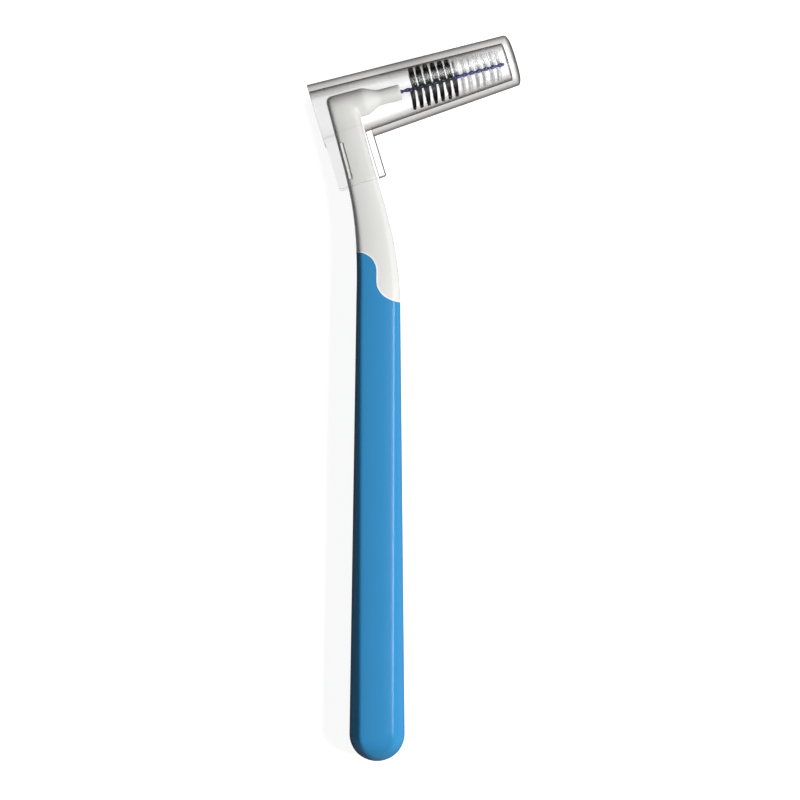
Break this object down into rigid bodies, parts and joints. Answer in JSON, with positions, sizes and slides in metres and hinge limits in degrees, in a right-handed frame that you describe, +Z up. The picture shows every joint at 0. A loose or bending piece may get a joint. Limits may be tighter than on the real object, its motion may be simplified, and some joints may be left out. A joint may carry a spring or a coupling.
{
  "type": "interdental brush",
  "caption": "Angled interdental brush: straight soft-grip handle, bent neck, tapered twisted-wire brush and a clear travel cap that slides off along the brush.",
  "frame": {"origin": "centre of the underside of the box round the brush as it lies on its side with its cap on", "axes": "+Y along the grip from its round end to the head, +X the way the brush points, +Z up from the surface, across the flat of the brush"},
  "size_m": [0.0426, 0.145, 0.0111],
  "materials": {
    "white_core": "satin moulded polypropylene",
    "blue_grip": "smooth moulded elastomer",
    "blue_wire": "plastic-coated wire",
    "black_nylon": "drawn nylon",
    "clear_nylon": "drawn translucent nylon",
    "clear_cap": "clear moulded plastic"
  },
  "bodies": {
    "brush": {"handle_core": "white_core", "soft_grip": "blue_grip", "twisted_wire": "blue_wire", "black_filaments": "black_nylon", "clear_filaments": "clear_nylon"},
    "cap": {"travel_cap": "clear_cap"}
  },
  "joints": [
    {"name": "cap_slide", "type": "slide", "parent": "brush", "child": "cap", "axis": [0.9659, 0.2588, 0], "range_m": [0, 0.042]}
  ]
}
